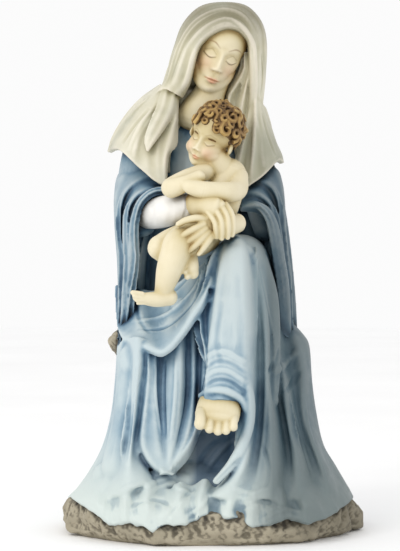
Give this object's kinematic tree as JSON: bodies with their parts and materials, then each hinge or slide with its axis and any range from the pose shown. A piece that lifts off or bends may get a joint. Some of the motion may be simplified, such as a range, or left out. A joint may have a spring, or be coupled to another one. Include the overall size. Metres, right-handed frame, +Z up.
{
  "type": "virgin and child statue",
  "caption": "Painted resin statue of a seated virgin in a veil and cloak, a sleeping child on her lap, on a low rough rock base.",
  "frame": {"origin": "middle of the base's underside, on the surface that the statue stands on", "axes": "+Z up, -Y the way the statue faces, +X to the right of someone looking at its front"},
  "size_m": [0.348, 0.27, 0.6],
  "materials": {
    "painted_resin": "hand painted, satin to matte"
  },
  "bodies": {
    "root": {"virgin_and_child_statue": "painted_resin"}
  },
  "joints": []
}
